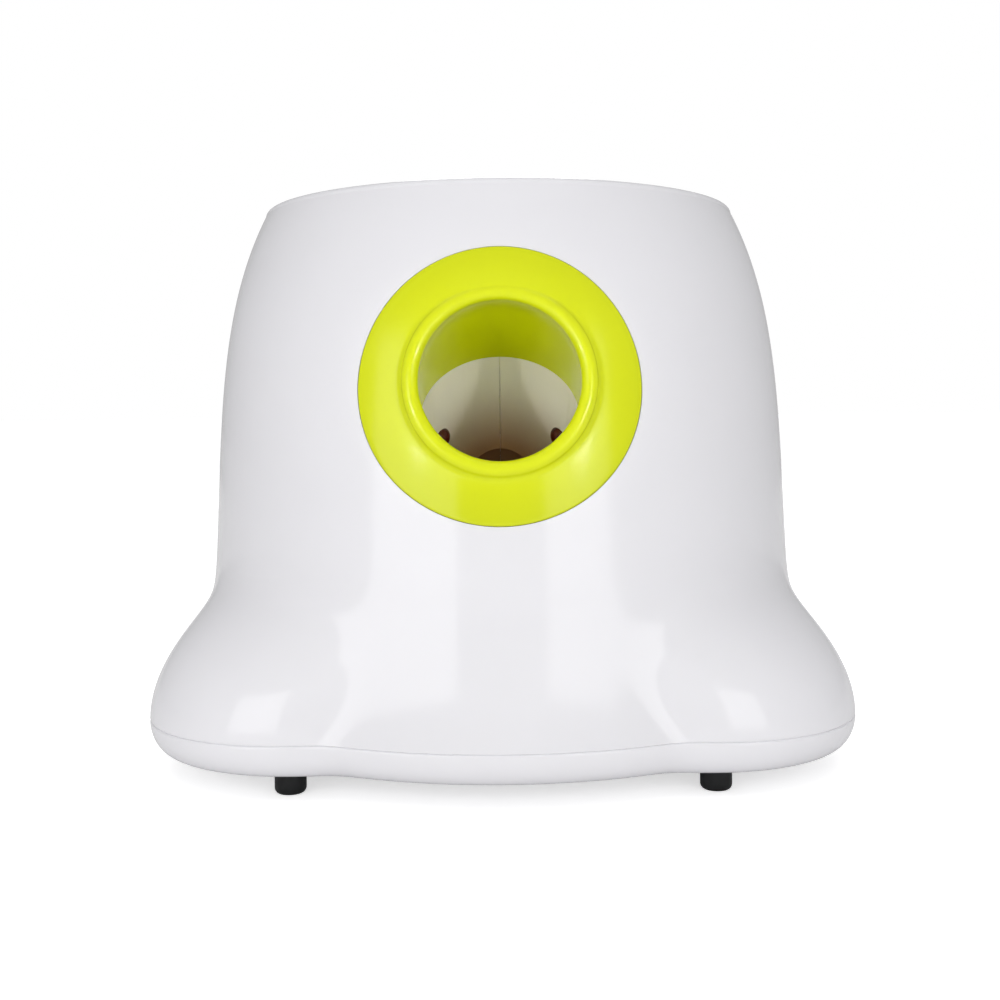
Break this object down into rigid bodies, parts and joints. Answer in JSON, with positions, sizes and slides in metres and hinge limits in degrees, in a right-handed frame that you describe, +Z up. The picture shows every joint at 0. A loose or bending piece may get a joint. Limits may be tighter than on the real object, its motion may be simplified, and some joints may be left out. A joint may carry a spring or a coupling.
{
  "type": "automatic pet ball launcher",
  "caption": "Round white pet ball launcher on lobed feet: bowl, drop chute, slanting launch tube behind a coloured ring, sprung hammer, geared motor and battery bays.",
  "frame": {"origin": "on the floor under the middle of the body", "axes": "+Z up, the launch mouth faces -Y, +X to its right seen from above with the mouth at the bottom"},
  "size_m": [0.2818, 0.2818, 0.2286],
  "materials": {
    "shell_white": "glossy",
    "foot_rubber": "matte",
    "bowl_white": "glossy",
    "ring_lime": "glossy",
    "tube_ivory": "satin",
    "window_dark_red": "glossy",
    "diode_grey": "glossy",
    "diode_black": "glossy",
    "plate_grey": "matte",
    "shaft_steel": "ground",
    "hammer_black": "matte",
    "pad_rubber": "matte",
    "bush_bronze": "sintered, matt",
    "spring_steel": "drawn",
    "gear_nylon": "satin",
    "motor_steel": "zinc plated",
    "motor_black": "matte",
    "pinion_brass": "machined",
    "screw_zinc": "zinc plated",
    "cell_jacket": "plain satin jacket",
    "contact_nickel": "nickel plated",
    "panel_white": "satin",
    "button_red": "satin",
    "lens_clear": "polished",
    "board_green": "solder mask",
    "parts_black": "matte",
    "lead_red": "satin",
    "lead_black": "satin",
    "lead_grey": "satin"
  },
  "bodies": {
    "housing": {"upper_shell": "shell_white", "base_pan": "shell_white", "foot_front_left": "foot_rubber", "foot_front_right": "foot_rubber", "foot_rear_left": "foot_rubber", "foot_rear_right": "foot_rubber", "hopper_bowl": "bowl_white", "barrel_ring": "ring_lime", "launch_tube_left": "tube_ivory", "launch_tube_right": "tube_ivory", "sensor_window_left": "window_dark_red", "sensor_window_right": "window_dark_red", "sensor_emitter": "diode_grey", "sensor_receiver": "diode_black", "bearing_plate_left": "plate_grey", "bearing_plate_right": "plate_grey", "gearbox_cover": "plate_grey", "gear_pins": "shaft_steel", "hammer_bushes": "bush_bronze", "hammer_spring": "spring_steel", "motor_can": "motor_steel", "motor_end_cap": "motor_black", "motor_screws": "screw_zinc", "cells_left": "cell_jacket", "cells_right": "cell_jacket", "battery_contacts": "contact_nickel", "control_panel": "panel_white", "indicator_lenses": "lens_clear", "control_board": "board_green", "main_board": "board_green", "board_parts": "parts_black", "buzzer": "parts_black", "dc_jack": "parts_black", "base_screws": "screw_zinc", "tube_screws": "screw_zinc", "plate_screws": "screw_zinc", "gearbox_screws": "screw_zinc", "motor_leads": "lead_red", "battery_leads": "lead_black", "sensor_leads": "lead_grey"},
    "sector": {"sector_gear": "gear_nylon"},
    "hammer": {"hammer": "hammer_black", "hammer_pad": "pad_rubber", "hammer_shaft": "shaft_steel", "hammer_gear": "gear_nylon", "shaft_clips": "spring_steel"},
    "second": {"second_gear": "gear_nylon"},
    "first": {"first_gear": "gear_nylon"},
    "motor_rotor": {"motor_shaft": "shaft_steel", "motor_pinion": "pinion_brass"},
    "power_button": {"power_button": "button_red"},
    "distance_button": {"distance_button": "ring_lime"},
    "door_left": {"battery_door_left": "shell_white"},
    "door_right": {"battery_door_right": "shell_white"}
  },
  "joints": [
    {"name": "sector_turn", "type": "hinge", "parent": "housing", "child": "sector", "pos_m": [0, 0.07297, 0.05329], "axis": [-1, 0, 0], "range_deg": [0, 90]},
    {"name": "hammer_swing", "type": "hinge", "parent": "housing", "child": "hammer", "pos_m": [0, 0.04688, 0.07678], "axis": [1, 0, 0], "range_deg": [0, 50], "stiffness_Nm_per_rad": 0.15, "springref_deg": -34.38, "deforming": ["hammer_spring"]},
    {"name": "second_turn", "type": "hinge", "parent": "housing", "child": "second", "pos_m": [0, 0.08076, 0.08237], "axis": [1, 0, 0], "range_deg": [0, 360]},
    {"name": "first_turn", "type": "hinge", "parent": "housing", "child": "first", "pos_m": [0, 0.06196, 0.09322], "axis": [1, 0, 0], "range_deg": [-1260, 0]},
    {"name": "motor_spin", "type": "hinge", "parent": "housing", "child": "motor_rotor", "pos_m": [0, 0.07841, 0.0992], "axis": [1, 0, 0], "range_deg": [0, 6048]},
    {"name": "power_press", "type": "slide", "parent": "housing", "child": "power_button", "axis": [0, -1, 0], "range_m": [0, 0.0012], "stiffness_N_per_m": 300, "springref_m": -0.001},
    {"name": "distance_press", "type": "slide", "parent": "housing", "child": "distance_button", "axis": [0, -1, 0], "range_m": [0, 0.0012], "stiffness_N_per_m": 300, "springref_m": -0.001},
    {"name": "door_right_hinge", "type": "hinge", "parent": "housing", "child": "door_right", "pos_m": [0.0449, 0, 0.0106], "axis": [0, 1, 0], "range_deg": [0, 90]},
    {"name": "door_left_hinge", "type": "hinge", "parent": "housing", "child": "door_left", "pos_m": [-0.0449, 0, 0.0106], "axis": [0, -1, 0], "range_deg": [0, 90]}
  ],
  "couplings": [
    {"joint": "hammer_swing", "follows": "sector_turn", "ratio": 0.55556},
    {"joint": "second_turn", "follows": "sector_turn", "ratio": 4},
    {"joint": "first_turn", "follows": "sector_turn", "ratio": -14},
    {"joint": "motor_spin", "follows": "sector_turn", "ratio": 67.2}
  ]
}
